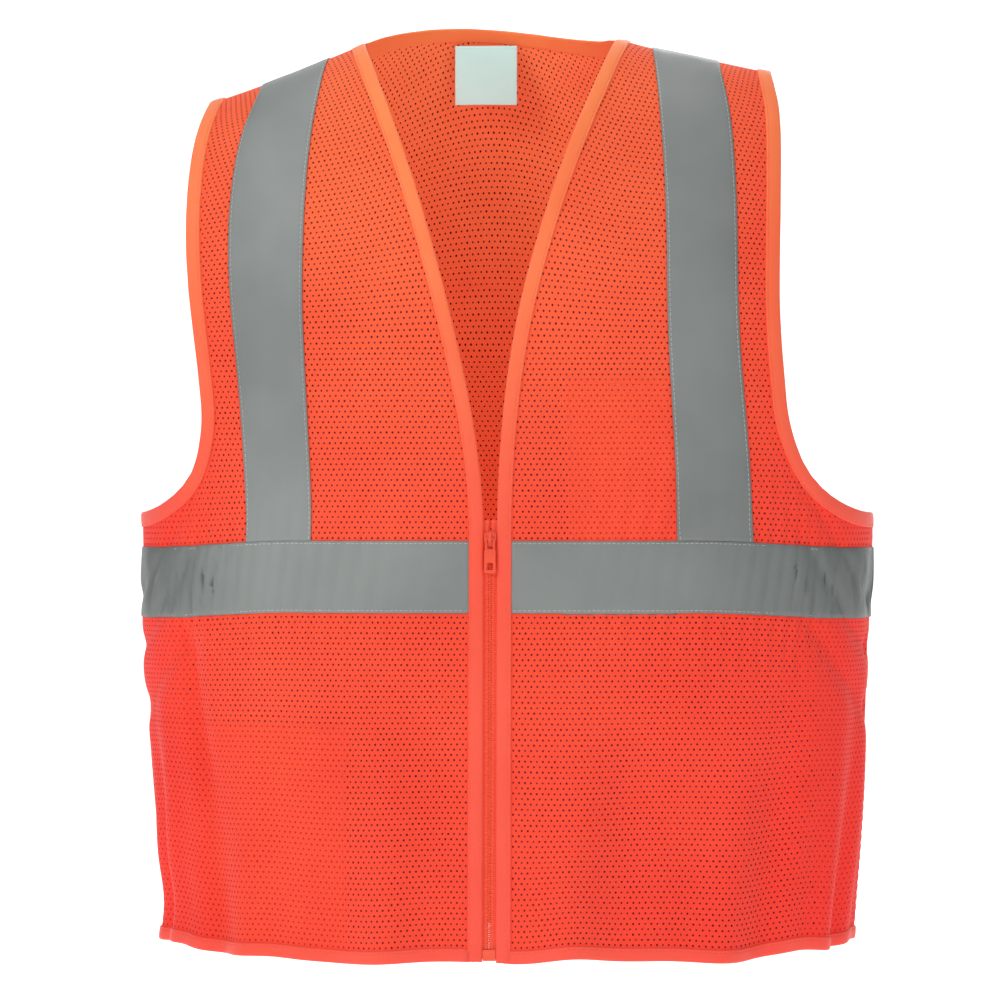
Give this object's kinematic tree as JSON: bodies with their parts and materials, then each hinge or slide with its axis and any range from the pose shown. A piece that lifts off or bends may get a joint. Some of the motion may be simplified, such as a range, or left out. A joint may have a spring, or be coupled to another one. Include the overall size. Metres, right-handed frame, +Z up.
{
  "type": "safety vest",
  "caption": "Sleeveless zip-front mesh safety vest in blaze orange with reflective tape over both shoulders and round the waist.",
  "frame": {"origin": "on the shoulder line beside the neck, in the middle of the vest, where it rests on the wearer's shoulders or a hanger", "axes": "+X towards the wearer's left, +Y towards the wearer's back, +Z up from hem to neck"},
  "size_m": [0.5398, 0.2352, 0.67],
  "materials": {
    "mesh_fabric": "matte knitted polyester mesh",
    "binding": "plain woven polyester",
    "pocket_fabric": "matte knitted polyester",
    "reflective_tape": "silver glass-bead reflective cloth",
    "zip_tape": "woven",
    "zip_teeth": "moulded acetal",
    "slider": "enamelled",
    "label": "satin woven"
  },
  "bodies": {
    "root": {"back_panel": "mesh_fabric", "back_neck_binding": "binding", "hem_binding": "binding", "back_waist_tape": "reflective_tape", "left_front_panel_side": "mesh_fabric", "left_armhole_binding": "binding", "left_waist_tape_side": "reflective_tape", "left_shoulder_tape": "reflective_tape", "right_front_panel_side": "mesh_fabric", "right_armhole_binding": "binding", "right_waist_tape_side": "reflective_tape", "right_shoulder_tape": "reflective_tape", "lower_pocket_side": "pocket_fabric"},
    "left_front": {"left_front_panel": "mesh_fabric", "left_front_binding": "binding", "left_front_hem": "binding", "left_waist_tape": "reflective_tape", "left_zip_tape": "zip_tape", "left_zip_teeth": "zip_teeth", "left_top_stop": "zip_teeth", "retainer_box": "zip_teeth", "chest_pocket": "pocket_fabric"},
    "right_front": {"right_front_panel": "mesh_fabric", "right_front_binding": "binding", "right_front_hem": "binding", "right_waist_tape": "reflective_tape", "right_zip_tape": "zip_tape", "right_zip_teeth": "zip_teeth", "right_top_stop": "zip_teeth", "insertion_pin": "zip_teeth", "lower_pocket": "pocket_fabric", "pocket_reinforcement": "pocket_fabric"},
    "slider": {"zip_slider": "slider"},
    "pull": {"pull_tab": "slider"},
    "label": {"neck_label": "label"}
  },
  "joints": [
    {"name": "left_front_open", "type": "hinge", "parent": "root", "child": "left_front", "pos_m": [0.11, -0.098, -0.327], "axis": [0, 0, 1], "range_deg": [0, 50]},
    {"name": "right_front_open", "type": "hinge", "parent": "root", "child": "right_front", "pos_m": [-0.11, -0.098, -0.327], "axis": [0, 0, -1], "range_deg": [0, 50]},
    {"name": "slider_travel", "type": "slide", "parent": "left_front", "child": "slider", "axis": [0, -0.0511, -0.9987], "range_m": [0, 0.2812]},
    {"name": "pull_tab_flip", "type": "hinge", "parent": "slider", "child": "pull", "pos_m": [0, -0.10821, -0.36092], "axis": [-1, 0, 0], "range_deg": [0, 150]},
    {"name": "label_flap", "type": "hinge", "parent": "root", "child": "label", "pos_m": [-0.011, 0.04181, 0.004], "axis": [-1, 0, 0], "range_deg": [0, 100]}
  ],
  "couplings": [
    {"joint": "right_front_open", "follows": "left_front_open", "ratio": 1},
    {"joint": "slider_travel", "follows": "left_front_open", "m_per_rad": 0.32223}
  ]
}
